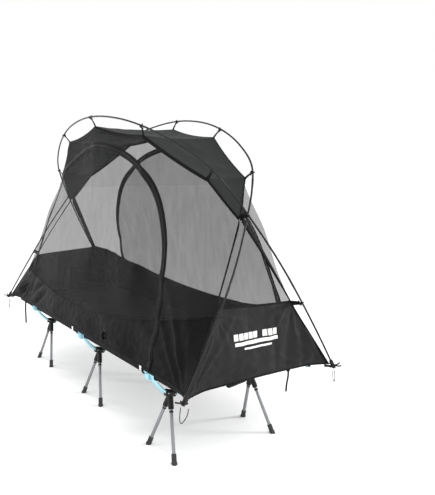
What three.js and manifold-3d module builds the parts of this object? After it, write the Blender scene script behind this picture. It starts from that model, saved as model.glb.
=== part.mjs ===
// A cot tent pitched on a folding camping cot.
// X runs along the bed, Y across it (the front is -Y), Z is up and the floor is z = 0. Millimetres.
import * as THREE from 'three';
import { mergeVertices } from 'three/addons/utils/BufferGeometryUtils.js';
import Module from 'manifold-3d';

const wasm = await Module();
wasm.setup();

// ---------- driving dimensions ----------
const GAP = 0.3; // clearance between touching parts

const rail = { halfLength: 950, y: 318, z: 358, radius: 10 };
const sheet = { thickness: 2, sleeveRadius: 12.4, cutoutLength: 90, cutoutDepth: 18 };
const crossAt = { left: -680, middle: 0, right: 680 };
const sides = { front: -1, back: 1 };

const bow = { radius: 8, hookRadius: 13.2, hookWidth: 34 };
// Half of the cross bow, from under the rail down to the middle, as [y, z].
const bowHalf = [[313, 348], [294, 311], [250, 268], [222, 256], [110, 249], [0, 247]];

const leg = { radius: 7.5, spreadX: 103, spreadY: 46, startAt: 28, endShort: 13 };
const apex = { y: 222, z: 251 };
const hub = { collarRadius: 15, collarLength: 52, collarZ: 256, collarSlope: 0.27 };
const socket = { radius: 12.5, startAt: -4, endAt: 62 }; // along a leg, from the hub's apex
const foot = { radius: 12.5, length: 40 };
const lever = { pivotY: 180, pivotZ: 231, width: 19, earThickness: 4, pinRadius: 3 };
const lugThickness = lever.width - 2 * lever.earThickness - 1;
// The lug under a back hub that carries the lever, as [y, z].
const lugOutline = [[212, 247], [206, 232], [190, 223], [176, 223], [172, 231], [178, 238], [196, 246]];
// The lever's ears and arm, as [y, z] from its pivot.
const earOutline = [[6, 2], [4, 6], [-4, 5], [-14, -1], [-14, -8], [2, -7], [6, -4]];
const armOutline = [[-12, -1], [-12, -8], [-92, -17], [-95, -13], [-92, -10]];

const pole = { radius: 4.5, crossingShift: 6 };
const poleSocket = { radius: 8.5, below: 14, above: 26 }; // round the pole's end
const tongue = { length: 40, width: 22, thickness: 5, inset: 20 };
const corner = { x: 1020, y: 380, z: 368 };
// Half of an arch pole seen from above, as [x, y]; both ends stand at the back corners.
const archHalf = [[0, -266], [240, -254], [440, -226], [640, -178], [795, -120], [868, -58],
  [908, -4], [958, 80], [984, 144], [1003, 225], [1014, 300], [1020, 380]];
const archTop = { y: -266, z: 1462 };

const fabric = 2; // thickness of the cloth panels
const seam = 3; // how far a panel stops short of the seam line
const floorInset = { x: 8, y: 7 }; // how far the floor stops short of the hem
const hem = { x: 985, y: 345, z: 372 };
// Where the cloth hangs from the poles along the front top edge, as [x, y, z]; the roof ends at the last.
const topEdgeHalf = [[0, -235.5, 1416], [417, -198, 1353], [770, -100, 1162], [858, 0, 998]];
const seamBulge = { x: 22, y: -8 }; // the corner seam bows out halfway up
const wallTension = 10; // the middle of the long wall is drawn inwards

// Front door in the XZ plane: up the straight zip, over the arch and down the far side.
const doorZip = [[700, 340], [694, 520], [676, 680], [650, 810], [606, 960], [552, 1065], [480, 1150],
  [372, 1228], [240, 1280], [120, 1308], [0, 1318], [-120, 1308], [-240, 1278], [-362, 1230],
  [-505, 1150], [-640, 1020], [-740, 850], [-795, 640], [-820, 340]];
const zipSlider = { x: 706, y: -341, z: 400, width: 9, height: 22, thickness: 5 };
const sliderTab = { inset: 2, below: 22, above: 16, thickness: 3 };

const cordRadius = 1.6;
const strapTail = { width: 11, thickness: 1.6 };
const far = 500; // long enough to cut right through the tent's depth

// ---------- materials ----------
function material(color, roughness, metalness = 0) {
  return new THREE.MeshStandardMaterial({ color, roughness, metalness });
}

const paint = {
  blueAluminium: material(0x9fd3e2, 0.35, 0.8),
  greyAluminium: material(0x6b6c6f, 0.45, 0.7),
  darkAluminium: material(0x2b2c2d, 0.4, 0.6),
  plastic: material(0x161617, 0.5),
  rubber: material(0x242425, 0.85),
  sheetCloth: material(0x17181a, 0.9),
  tubCloth: material(0x2a2a2b, 0.85),
  roofCloth: material(0x3a3e3c, 0.85),
  mesh: material(0x3c3c3d, 0.95),
  webbing: material(0x18181a, 0.9),
  cord: material(0x6f6f70, 0.8),
};

const group = new THREE.Group();
const v3 = (x, y, z) => new THREE.Vector3(x, y, z);

// ---------- solids ----------
function closedGeometry(geometry) {
  const bare = geometry.clone();
  bare.deleteAttribute('normal');
  bare.deleteAttribute('uv');
  const merged = mergeVertices(bare, 1e-3);
  const p = merged.attributes.position;
  const index = merged.index.array;
  const [a, b, c] = [v3(), v3(), v3()];
  let volume = 0;
  const kept = [];
  for (let i = 0; i < index.length; i += 3) {
    const [ia, ib, ic] = [index[i], index[i + 1], index[i + 2]];
    if (ia === ib || ib === ic || ia === ic) continue;
    kept.push(ia, ib, ic);
    a.fromBufferAttribute(p, ia);
    b.fromBufferAttribute(p, ib);
    c.fromBufferAttribute(p, ic);
    volume += a.dot(b.cross(c));
  }
  merged.setIndex(volume < 0 ? kept.reverse() : kept);
  return merged;
}

function solid(geometry) {
  const merged = closedGeometry(geometry);
  return new wasm.Manifold(new wasm.Mesh({
    numProp: 3,
    vertProperties: new Float32Array(merged.attributes.position.array),
    triVerts: new Uint32Array(merged.index.array),
  }));
}

function toGeometry(manifold) {
  const mesh = manifold.getMesh();
  const geometry = new THREE.BufferGeometry();
  geometry.setAttribute('position', new THREE.BufferAttribute(new Float32Array(mesh.vertProperties), 3));
  geometry.setIndex(Array.from(mesh.triVerts));
  geometry.computeVertexNormals();
  return geometry;
}

function add(name, shape, finish) {
  const geometry = shape.isBufferGeometry ? closedGeometry(shape) : toGeometry(shape);
  geometry.computeVertexNormals();
  const mesh = new THREE.Mesh(geometry, finish);
  mesh.name = name;
  group.add(mesh);
  return mesh;
}

function rod(from, to, radius, segments = 16) {
  const axis = to.clone().sub(from);
  const geometry = new THREE.CylinderGeometry(radius, radius, axis.length(), segments);
  const turn = new THREE.Quaternion().setFromUnitVectors(v3(0, 1, 0), axis.clone().normalize());
  geometry.applyQuaternion(turn);
  const middle = from.clone().add(to).multiplyScalar(0.5);
  return geometry.translate(middle.x, middle.y, middle.z);
}

function box(min, max) {
  const size = max.clone().sub(min);
  const middle = min.clone().add(max).multiplyScalar(0.5);
  return new THREE.BoxGeometry(size.x, size.y, size.z).translate(middle.x, middle.y, middle.z);
}

function sweep(points, section, steps) {
  const path = new THREE.CatmullRomCurve3(points, false, 'centripetal');
  return new THREE.ExtrudeGeometry(section, { steps, extrudePath: path });
}

function roundSection(radius, sidesCount) {
  const corners = [];
  for (let i = 0; i < sidesCount; i += 1) {
    const angle = (2 * Math.PI * i) / sidesCount;
    corners.push(new THREE.Vector2(radius * Math.cos(angle), radius * Math.sin(angle)));
  }
  return new THREE.Shape(corners);
}

// A closed shell: a grid of points and the same grid moved by the cloth's thickness along `inward`.
function shell(rows, inward) {
  const height = rows.length;
  const width = rows[0].length;
  const positions = [];
  for (const offset of [0, fabric]) {
    for (const row of rows) {
      for (const point of row) {
        positions.push(point.x + offset * inward.x, point.y + offset * inward.y, point.z + offset * inward.z);
      }
    }
  }
  const at = (layer, r, c) => layer * height * width + r * width + c;
  const index = [];
  const quad = (a, b, c, d) => index.push(a, b, c, a, c, d);
  for (let r = 0; r + 1 < height; r += 1) {
    for (let c = 0; c + 1 < width; c += 1) {
      quad(at(0, r, c), at(0, r, c + 1), at(0, r + 1, c + 1), at(0, r + 1, c));
      quad(at(1, r, c), at(1, r + 1, c), at(1, r + 1, c + 1), at(1, r, c + 1));
    }
  }
  for (let c = 0; c + 1 < width; c += 1) {
    quad(at(0, 0, c), at(1, 0, c), at(1, 0, c + 1), at(0, 0, c + 1));
    quad(at(0, height - 1, c), at(0, height - 1, c + 1), at(1, height - 1, c + 1), at(1, height - 1, c));
  }
  for (let r = 0; r + 1 < height; r += 1) {
    quad(at(0, r, 0), at(0, r + 1, 0), at(1, r + 1, 0), at(1, r, 0));
    quad(at(0, r, width - 1), at(1, r, width - 1), at(1, r + 1, width - 1), at(0, r + 1, width - 1));
  }
  const geometry = new THREE.BufferGeometry();
  geometry.setAttribute('position', new THREE.Float32BufferAttribute(positions, 3));
  geometry.setIndex(index);
  return geometry;
}

const mirrorX = (shape) => shape.mirror([1, 0, 0]);
const halfTurn = (shape) => shape.rotate([0, 0, 180]);

// ---------- cot: rails and bed sheet ----------
function makeRails() {
  for (const [side, sign] of Object.entries(sides)) {
    const y = sign * rail.y;
    const tube = rod(v3(-rail.halfLength, y, rail.z), v3(rail.halfLength, y, rail.z), rail.radius, 16);
    add(`side_rail_${side}`, tube, paint.blueAluminium);
  }
}

function makeSheet() {
  const half = rail.halfLength - 8;
  const top = rail.z + sheet.sleeveRadius;
  let cloth = solid(box(v3(-half, -rail.y, top - sheet.thickness), v3(half, rail.y, top)));
  for (const sign of Object.values(sides)) {
    const ends = [v3(-half, sign * rail.y, rail.z), v3(half, sign * rail.y, rail.z)];
    cloth = cloth.add(solid(rod(...ends, sheet.sleeveRadius, 16)));
  }
  for (const sign of Object.values(sides)) {
    const ends = [v3(-half - 1, sign * rail.y, rail.z), v3(half + 1, sign * rail.y, rail.z)];
    cloth = cloth.subtract(solid(rod(...ends, rail.radius + 2 * GAP, 16)));
    const inner = sign * (rail.y - sheet.cutoutDepth);
    const outer = sign * (rail.y + 20);
    for (const x of Object.values(crossAt)) {
      const low = v3(x - sheet.cutoutLength / 2, Math.min(inner, outer), rail.z - 20);
      const high = v3(x + sheet.cutoutLength / 2, Math.max(inner, outer), rail.z + 20);
      cloth = cloth.subtract(solid(box(low, high)));
    }
  }
  add('cot_sheet', cloth, paint.sheetCloth);
}

// ---------- cot: cross bows, hubs, legs, feet and levers ----------
function bowPath(x) {
  const near = bowHalf.map(([y, z]) => v3(x, -y, z));
  const far = bowHalf.slice(0, -1).reverse().map(([y, z]) => v3(x, y, z));
  return [...near, ...far];
}

function bowTube(x, radius) {
  return solid(sweep(bowPath(x), roundSection(radius, 10), 24));
}

function makeBow(name, x) {
  let part = bowTube(x, bow.radius);
  const half = bow.hookWidth / 2;
  for (const sign of Object.values(sides)) {
    const y = sign * rail.y;
    const hook = solid(rod(v3(x - half, y, rail.z), v3(x + half, y, rail.z), bow.hookRadius, 16));
    const open = solid(box(v3(x - half - 1, y - 30, rail.z + 4), v3(x + half + 1, y + 30, rail.z + 30)));
    part = part.add(hook.subtract(open));
  }
  for (const sign of Object.values(sides)) {
    const y = sign * rail.y;
    const bore = rod(v3(x - half - 5, y, rail.z), v3(x + half + 5, y, rail.z), rail.radius + 2 * GAP, 16);
    part = part.subtract(solid(bore));
  }
  add(`cross_bow_${name}`, part, paint.blueAluminium);
}

// A point on a leg's axis, counted from the hub's apex.
function legPoint(x, sideSign, lean, distance) {
  const down = v3(lean * leg.spreadX, sideSign * leg.spreadY, -apex.z).normalize();
  return v3(x, sideSign * apex.y, apex.z).addScaledVector(down, distance);
}

const legLength = Math.hypot(leg.spreadX, leg.spreadY, apex.z);

function makeHub(name, x, side, sideSign) {
  const slope = v3(0, sideSign, hub.collarSlope).normalize();
  const centre = v3(x, sideSign * apex.y, hub.collarZ);
  const half = hub.collarLength / 2;
  const ends = [centre.clone().addScaledVector(slope, -half), centre.clone().addScaledVector(slope, half)];
  let body = solid(rod(...ends, hub.collarRadius, 14));
  const leans = [-1, 1];
  for (const lean of leans) {
    const from = legPoint(x, sideSign, lean, socket.startAt);
    const to = legPoint(x, sideSign, lean, socket.endAt);
    body = body.add(solid(rod(from, to, socket.radius, 12)));
  }
  if (side === 'back') body = body.add(yzPlate(lugOutline, x, lugThickness));
  for (const lean of leans) {
    const from = legPoint(x, sideSign, lean, leg.startAt - GAP);
    const to = legPoint(x, sideSign, lean, socket.endAt + 2);
    body = body.subtract(solid(rod(from, to, leg.radius + 2 * GAP, 12)));
  }
  body = body.subtract(bowTube(x, bow.radius + GAP));
  if (side === 'back') {
    const { pivotY, pivotZ, pinRadius, width } = lever;
    const ends = [v3(x - width, pivotY, pivotZ), v3(x + width, pivotY, pivotZ)];
    body = body.subtract(solid(rod(...ends, pinRadius + 2 * GAP, 12)));
  }
  add(`hub_${name}_${side}`, body, paint.plastic);
}


function yzPlate(outline, x, thickness) {
  const shape = new THREE.Shape(outline.map(([y, z]) => new THREE.Vector2(y, z)));
  const plate = new THREE.ExtrudeGeometry(shape, { depth: thickness, bevelEnabled: false });
  const toYZ = new THREE.Matrix4().makeBasis(v3(0, 1, 0), v3(0, 0, 1), v3(1, 0, 0));
  return solid(plate.applyMatrix4(toYZ).translate(x - thickness / 2, 0, 0));
}

function makeLever(name, x) {
  const { pivotY, pivotZ, width, earThickness, pinRadius } = lever;
  const fromPivot = (outline) => outline.map(([y, z]) => [pivotY + y, pivotZ + z]);
  let part = yzPlate(fromPivot(armOutline), x, width);
  for (const sign of [-1, 1]) {
    part = part.add(yzPlate(fromPivot(earOutline), x + sign * (width - earThickness) / 2, earThickness));
  }
  const reach = width / 2 - 1;
  part = part.add(solid(rod(v3(x - reach, pivotY, pivotZ), v3(x + reach, pivotY, pivotZ), pinRadius, 12)));
  add(`tension_lever_${name}`, part, paint.plastic);
}

function makeLegs(name, x, side, sideSign) {
  for (const [lean, sign] of Object.entries({ a: -1, b: 1 })) {
    const along = (distance) => legPoint(x, sideSign, sign, distance);
    const endAt = legLength - leg.endShort;
    const tube = rod(along(leg.startAt), along(endAt), leg.radius, 12);
    add(`leg_${name}_${side}_${lean}`, tube, paint.greyAluminium);

    const footTop = legLength - foot.length;
    const outer = solid(rod(along(footTop), along(legLength + 10), foot.radius, 14));
    const bore = solid(rod(along(footTop - 5), along(endAt + GAP), leg.radius + 2 * GAP, 12));
    const belowFloor = solid(box(v3(x - far, -far, -far), v3(x + far, far, 0)));
    add(`foot_${name}_${side}_${lean}`, outer.subtract(bore).subtract(belowFloor), paint.rubber);
  }
}

// ---------- tent: arch poles and their feet ----------
const archSlope = (corner.z - archTop.z) / (corner.y - archTop.y);
const archPlaneZ = (y) => archTop.z + (y - archTop.y) * archSlope;

function archPoints() {
  const right = archHalf.map(([x, y]) => v3(x, y, archPlaneZ(y)));
  const left = right.slice(1).reverse().map((point) => v3(-point.x, point.y, point.z));
  return [...left, ...right].map((point) => point.add(v3(pole.crossingShift, 0, 0)));
}

function makePoles() {
  const arch = solid(sweep(archPoints(), roundSection(pole.radius, 8), 52));
  add('arch_pole_front', arch, paint.darkAluminium);
  add('arch_pole_back', halfTurn(arch), paint.darkAluminium);
}

function poleFoot(xSign) {
  const points = archPoints();
  const end = xSign > 0 ? points.at(-1) : points[0];
  const before = xSign > 0 ? points.at(-2) : points[1];
  const up = before.clone().sub(end).normalize();
  const along = (distance) => end.clone().addScaledVector(up, distance);
  const cup = rod(along(-poleSocket.below), along(poleSocket.above), poleSocket.radius, 16);
  const inward = v3(-xSign, -1, 0).normalize();
  const middle = end.clone().addScaledVector(inward, tongue.inset);
  const plate = new THREE.BoxGeometry(tongue.length, tongue.width, tongue.thickness)
    .rotateZ(Math.atan2(inward.y, inward.x))
    .translate(middle.x, middle.y, end.z - tongue.thickness);
  const bore = rod(along(-GAP), along(2 * poleSocket.above), pole.radius + GAP, 16);
  return solid(cup).add(solid(plate)).subtract(solid(bore));
}

function makePoleFeet() {
  const backRight = poleFoot(1);
  const backLeft = poleFoot(-1);
  add('pole_foot_back_right', backRight, paint.plastic);
  add('pole_foot_back_left', backLeft, paint.plastic);
  add('pole_foot_front_left', halfTurn(backRight), paint.plastic);
  add('pole_foot_front_right', halfTurn(backLeft), paint.plastic);
}

// ---------- tent: cloth panels ----------
const topEdge = [...topEdgeHalf.slice(1).reverse().map(([x, y, z]) => v3(-x, y, z)),
  ...topEdgeHalf.map(([x, y, z]) => v3(x, y, z))];

function alongTopEdge(perSegment) {
  const points = [];
  for (let i = 0; i + 1 < topEdge.length; i += 1) {
    for (let k = 0; k < perSegment; k += 1) {
      points.push(topEdge[i].clone().lerp(topEdge[i + 1], k / perSegment));
    }
  }
  points.push(topEdge.at(-1).clone());
  return points;
}

// The front wall between the hem and the top edge; `share` goes 0..1 upwards.
function wallPoint(top, share) {
  const s = top.x / topEdgeHalf.at(-1)[0];
  const low = v3(hem.x * s, -hem.y, hem.z);
  const middle = low.clone().add(top).multiplyScalar(0.5);
  const nearCorner = Math.abs(s) ** 6;
  middle.x += Math.sign(s) * seamBulge.x * nearCorner;
  middle.y += seamBulge.y * nearCorner + wallTension * (1 - s * s);
  return low.multiplyScalar((1 - share) * (1 - 2 * share))
    .addScaledVector(middle, 4 * share * (1 - share))
    .addScaledVector(top, share * (2 * share - 1));
}

function longWall() {
  const columns = alongTopEdge(4);
  const rows = [];
  for (let r = 0; r <= 6; r += 1) {
    const share = (r / 6) * 0.995;
    rows.push(columns.map((top) => {
      const point = wallPoint(top, share);
      const inset = seam * Math.sign(top.x) * (Math.abs(top.x) >= topEdgeHalf.at(-1)[0] ? 1 : 0);
      return v3(point.x - inset, Math.min(point.y, -seam), point.z);
    }));
  }
  return solid(shell(rows, v3(0, 1, 0)));
}

function doorPrism(grow) {
  const centre = new THREE.Vector2(-60, 700);
  const corners = new THREE.SplineCurve(doorZip.map(([x, z]) => new THREE.Vector2(x, z))).getPoints(36)
    .map((point) => point.add(point.clone().sub(centre).normalize().multiplyScalar(grow)));
  const slab = new THREE.ExtrudeGeometry(new THREE.Shape(corners), { depth: far, bevelEnabled: false });
  return solid(slab.rotateX(Math.PI / 2));
}

function makeLongWalls() {
  const wall = longWall();
  const door = wall.intersect(doorPrism(0));
  const fixed = wall.subtract(doorPrism(1.2));
  add('front_wall', fixed, paint.mesh);
  add('front_door', door, paint.mesh);
  add('back_wall', halfTurn(fixed), paint.mesh);
  add('back_door', halfTurn(door), paint.mesh);
}

function makeEndWalls() {
  const rows = [];
  for (let r = 0; r <= 6; r += 1) {
    const share = (r / 6) * 0.975;
    const edge = wallPoint(topEdge.at(-1), share);
    const half = Math.max(Math.abs(edge.y) - seam - 1, 1.5);
    const row = [];
    for (let c = 0; c <= 4; c += 1) row.push(v3(edge.x, half * (c / 2 - 1), edge.z));
    rows.push(row);
  }
  const wall = solid(shell(rows, v3(-1, 0, 0)));
  add('end_wall_right', wall, paint.tubCloth);
  add('end_wall_left', mirrorX(wall), paint.tubCloth);
}

function makeRoof() {
  const edge = alongTopEdge(3);
  const columns = edge.map((point) => v3(point.x, Math.min(point.y, -1.5), point.z + 1));
  columns[0].x += 2;
  columns.at(-1).x -= 2;
  const rows = [];
  for (let r = 0; r <= 4; r += 1) {
    const across = 1 - r / 2;
    rows.push(columns.map((point) => v3(point.x, point.y * across, point.z)));
  }
  add('roof_panel', shell(rows, v3(0, 0, 1)), paint.roofCloth);
}

function makeFloor() {
  const bed = rail.z + sheet.sleeveRadius + 1;
  const rows = [];
  for (let r = 0; r <= 12; r += 1) {
    const y = (hem.y - floorInset.y) * (r / 6 - 1);
    const row = [];
    for (let c = 0; c <= 6; c += 1) row.push(v3((hem.x - floorInset.x) * (c / 3 - 1), y, bed));
    rows.push(row);
  }
  add('tent_floor', shell(rows, v3(0, 0, 1)), paint.tubCloth);
}

// ---------- tent: zip sliders, strap tails and cord loops ----------
function slider() {
  const { x, y, z, width, height, thickness } = zipSlider;
  const front = y - thickness;
  const { inset, below, above } = sliderTab;
  const body = box(v3(x, front, z), v3(x + width, y, z + height));
  const low = v3(x + inset, front - sliderTab.thickness, z - below);
  const tab = box(low, v3(x + width - inset, front, z + above));
  return solid(body).add(solid(tab));
}

function makeSliders() {
  add('zip_slider_front', slider(), paint.plastic);
  add('zip_slider_back', halfTurn(slider()), paint.plastic);
}

function strapSection() {
  const { width, thickness } = strapTail;
  return new THREE.Shape([[-1, -1], [1, -1], [1, 1], [-1, 1]]
    .map(([a, b]) => new THREE.Vector2((a * thickness) / 2, (b * width) / 2)));
}

const strapTails = {
  left: [v3(-790, -348, 371), v3(-790, -350, 330), v3(-788, -350, 280), v3(-788, -349, 234)],
  right: [v3(978, 168, 371), v3(980, 164, 345), v3(979, 158, 315), v3(980, 154, 284)],
};

const cordLoops = {
  front_left: [v3(-1020, -380, 346), v3(-1023, -381, 318), v3(-1020, -382, 294), v3(-1014, -383, 287),
    v3(-1008, -383, 296), v3(-1003, -382, 320), v3(-1002, -380, 346)],
  front_right: [v3(1004, -388, 346), v3(1002, -390, 318), v3(1004, -391, 295), v3(1010, -389, 289),
    v3(1017, -384, 298), v3(1026, -374, 322), v3(1029, -370, 346)],
  back_right: [v3(1022, 386, 346), v3(1019, 389, 320), v3(1021, 390, 300), v3(1026, 389, 294),
    v3(1031, 387, 302), v3(1034, 384, 322), v3(1033, 382, 346)],
};

function makeSoftTrim() {
  for (const [name, points] of Object.entries(strapTails)) {
    add(`strap_tail_${name}`, sweep(points, strapSection(), 8), paint.webbing);
  }
  for (const [name, points] of Object.entries(cordLoops)) {
    add(`cord_loop_${name}`, sweep(points, roundSection(cordRadius, 6), 18), paint.cord);
  }
}

// ---------- assembly ----------
makeRails();
makeSheet();
for (const [name, x] of Object.entries(crossAt)) {
  makeBow(name, x);
  for (const [side, sideSign] of Object.entries(sides)) {
    makeHub(name, x, side, sideSign);
    makeLegs(name, x, side, sideSign);
  }
  makeLever(name, x);
}
makePoles();
makePoleFeet();
makeFloor();
makeLongWalls();
makeEndWalls();
makeRoof();
makeSliders();
makeSoftTrim();

export default group;
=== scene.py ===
"""The looks of a mesh cot tent on a folding camping cot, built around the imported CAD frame.

X runs along the bed, Y across it (the front is -Y) and Z is up, all in metres.
"""

import math

import bmesh
import bpy
import numpy as np
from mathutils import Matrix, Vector


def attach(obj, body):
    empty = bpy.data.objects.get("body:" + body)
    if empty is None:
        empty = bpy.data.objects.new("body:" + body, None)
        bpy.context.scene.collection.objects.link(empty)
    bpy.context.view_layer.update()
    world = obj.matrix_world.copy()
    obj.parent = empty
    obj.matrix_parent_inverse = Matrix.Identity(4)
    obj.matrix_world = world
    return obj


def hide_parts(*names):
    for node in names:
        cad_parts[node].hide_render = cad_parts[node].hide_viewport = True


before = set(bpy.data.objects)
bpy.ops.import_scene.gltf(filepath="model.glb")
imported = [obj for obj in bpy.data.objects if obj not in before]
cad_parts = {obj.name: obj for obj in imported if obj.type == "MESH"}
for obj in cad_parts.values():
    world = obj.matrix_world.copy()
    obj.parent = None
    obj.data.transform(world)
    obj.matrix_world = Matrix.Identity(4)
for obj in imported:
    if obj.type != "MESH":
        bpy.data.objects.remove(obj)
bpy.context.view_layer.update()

BODY = "frame"  # the body of all that doesn't move

# ---------- driving dimensions, the same as the CAD source's ----------
CROSS_AT = {"left": -0.680, "middle": 0.0, "right": 0.680}
SIDES = {"front": -1, "back": 1}
RAIL = {"y": 0.318, "z": 0.358, "radius": 0.010, "half": 0.950}
SLEEVE = {"radius": 0.0124, "cutout": 0.090, "half": 0.942}
BOW_HALF = [(0.313, 0.348), (0.294, 0.311), (0.250, 0.268), (0.222, 0.256), (0.110, 0.249), (0, 0.247)]
LEG = {"radius": 0.0075, "spread_x": 0.103, "spread_y": 0.046, "start": 0.028, "end_short": 0.013}
APEX = {"y": 0.222, "z": 0.251}
SOCKET_END = 0.062  # how far down the leg its socket reaches
LEVER = {"y": 0.180, "z": 0.231, "width": 0.019}
POLE_RADIUS = 0.0045
CROSSING_SHIFT = 0.006
CORNER = {"y": 0.380, "z": 0.368}
ARCH_HALF = [(0, -0.266), (0.240, -0.254), (0.440, -0.226), (0.640, -0.178), (0.795, -0.120),
             (0.868, -0.058), (0.908, -0.004), (0.958, 0.080), (0.984, 0.144), (1.003, 0.225),
             (1.014, 0.300), (1.020, 0.380)]
ARCH_TOP = {"y": -0.266, "z": 1.462}
HEM = {"x": 0.985, "y": 0.345, "z": 0.372}
TOP_HALF = np.array([(0, -0.2355, 1.416), (0.417, -0.198, 1.353), (0.770, -0.100, 1.162),
                     (0.858, 0, 0.998)])
SEAM_BULGE = (0.022, -0.008)
WALL_TENSION = 0.010
DOOR_ZIP = [(0.700, 0.340), (0.694, 0.520), (0.676, 0.680), (0.650, 0.810), (0.606, 0.960), (0.552, 1.065),
            (0.480, 1.150), (0.372, 1.228), (0.240, 1.280), (0.120, 1.308), (0, 1.318), (-0.120, 1.308),
            (-0.240, 1.278), (-0.362, 1.230), (-0.505, 1.150), (-0.640, 1.020), (-0.740, 0.850),
            (-0.795, 0.640), (-0.820, 0.340)]
STRAP = {"width": 0.011, "thickness": 0.0016}
CORD_RADIUS = 0.0016

# Routes of the hanging pieces, as in the CAD source.
STRAP_TAILS = {
    "left": [(-0.790, -0.348, 0.371), (-0.790, -0.350, 0.330), (-0.788, -0.350, 0.280),
             (-0.788, -0.349, 0.234)],
    "right": [(0.978, 0.168, 0.371), (0.980, 0.164, 0.345), (0.979, 0.158, 0.315),
              (0.980, 0.154, 0.284)],
}
CORD_LOOPS = {
    "front_left": [(-1.020, -0.380, 0.346), (-1.023, -0.381, 0.318), (-1.020, -0.382, 0.294),
                   (-1.014, -0.383, 0.287), (-1.008, -0.383, 0.296), (-1.003, -0.382, 0.320),
                   (-1.002, -0.380, 0.346)],
    "front_right": [(1.004, -0.388, 0.346), (1.002, -0.390, 0.318), (1.004, -0.391, 0.295),
                    (1.010, -0.389, 0.289), (1.017, -0.384, 0.298), (1.026, -0.374, 0.322),
                    (1.029, -0.370, 0.346)],
    "back_right": [(1.022, 0.386, 0.346), (1.019, 0.389, 0.320), (1.021, 0.390, 0.300),
                   (1.026, 0.389, 0.294), (1.031, 0.387, 0.302), (1.034, 0.384, 0.322),
                   (1.033, 0.382, 0.346)],
}


# ---------- materials ----------
def colour(hex_code):
    """An sRGB colour as the linear numbers that shaders take."""
    channels = [int(hex_code[i:i + 2], 16) / 255 for i in (0, 2, 4)]
    return [c / 12.92 if c <= 0.04045 else ((c + 0.055) / 1.055) ** 2.4 for c in channels] + [1]


class Material:
    """A node material on one Principled shader, with short helpers for procedural detail."""

    def __init__(self, name, hex_code, roughness, metallic=0.0, specular=0.5):
        self.mat = bpy.data.materials.new(name)
        self.mat.use_nodes = True
        self.nodes = self.mat.node_tree.nodes
        self.shader = self.nodes["Principled BSDF"]
        self.place = self.nodes.new("ShaderNodeTexCoord").outputs["Object"]
        self.base = colour(hex_code)
        self.normal = None
        self.set("Base Color", self.base)
        self.set("Roughness", roughness)
        self.set("Metallic", metallic)
        self.set("Specular IOR Level", specular)

    def set(self, socket, value):
        self.shader.inputs[socket].default_value = value

    def link(self, output, socket):
        self.mat.node_tree.links.new(output, socket)

    def node(self, kind, **sockets):
        """A new node; each named socket is linked to an output or set to a value."""
        node = self.nodes.new(f"ShaderNode{kind}")
        for name, value in sockets.items():
            self.fill(node.inputs[name], value)
        return node

    def fill(self, socket, value):
        if isinstance(value, bpy.types.NodeSocket):
            self.link(value, socket)
        else:
            socket.default_value = value

    def noise(self, scale, stretch=(1, 1, 1), turn=(0, 0, 0), detail=3.0, rough=0.55):
        mapping = self.node("Mapping", Vector=self.place, Scale=stretch, Rotation=turn)
        noise = self.node("TexNoise", Vector=mapping.outputs[0], Scale=scale, Detail=detail, Roughness=rough)
        return noise.outputs["Fac"]

    def wave(self, scale, axis):
        node = self.node("TexWave", Vector=self.place, Scale=scale)
        node.wave_type = "BANDS"
        node.bands_direction = axis
        return node.outputs["Fac"]

    def maths(self, operation, *values):
        node = self.node("Math")
        node.operation = operation
        for socket, value in zip(node.inputs, values):
            self.fill(socket, value)
        return node.outputs[0]

    def ramp(self, factor, low, high, start=0.3, end=0.7):
        """A smooth change between two values or colours as factor goes from start to end."""
        node = self.node("ValToRGB", Fac=factor)
        for element, place, value in zip(node.color_ramp.elements, (start, end), (low, high)):
            element.position = place
            element.color = value if hasattr(value, "__len__") else (value, value, value, 1)
        return node.outputs["Color"]

    def shade(self, factor, low, high, start=0.3, end=0.7):
        """Base colour that varies between low and high times the base."""
        dark, light = ([c * share for c in self.base[:3]] + [1] for share in (low, high))
        self.link(self.ramp(factor, dark, light, start, end), self.shader.inputs["Base Color"])

    def rough(self, factor, low, high):
        self.link(self.ramp(factor, low, high), self.shader.inputs["Roughness"])

    def bump(self, height, distance, strength=1.0):
        """Adds relief on top of the relief so far."""
        node = self.node("Bump", Height=height, Distance=distance, Strength=strength)
        if self.normal is not None:
            self.link(self.normal, node.inputs["Normal"])
        self.normal = node.outputs["Normal"]
        self.link(self.normal, self.shader.inputs["Normal"])


def woven(name, hex_code, roughness, thread, crumple, specular=0.14, painted_shade_along_bed=None):
    """Woven cloth: a fine weave, small crumples and a random tone; where asked, also painted light and shade,
    lighter towards the bed's head and darker towards its foot, with painted shade in stretched creases.
    """
    m = Material(name, hex_code, roughness, specular=specular)
    m.set("Sheen Weight", 0.02)
    m.set("Sheen Roughness", 0.4)
    weave = m.maths("MULTIPLY", m.wave(1 / thread, "X"), m.wave(1 / thread, "Z"))
    m.bump(weave, 0.00004, 0.15)
    m.bump(m.noise(22, (1, 1, 2.2), (0.5, 0.2, 0.3), 4), crumple, 0.8)
    m.bump(m.noise(75, (1, 1, 1.6), (0.1, 0.7, 0.4), 3), crumple * 0.35, 0.7)
    if painted_shade_along_bed:
        # Painted light and shade: the colour goes from light at -x to dark at +x along the bed, with painted
        # shade in stretched creases and a random tone on top.
        x = m.node("SeparateXYZ", Vector=m.place).outputs["X"]
        place = m.maths("ADD", m.maths("MULTIPLY", x, -0.45), m.noise(9, detail=4))
        painted_crease_shade = m.maths("MULTIPLY", m.noise(20, (2.4, 1, 0.8), (0.2, 0.7, 0.3), 5, 0.65), 0.8)
        m.shade(m.maths("ADD", place, m.maths("SUBTRACT", painted_crease_shade, 0.4)), *painted_shade_along_bed, 0.0, 1.0)
    else:
        m.shade(m.noise(9, detail=4), 0.88, 1.12)
    m.rough(m.noise(30), roughness - 0.07, roughness + 0.07)
    return m.mat


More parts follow.
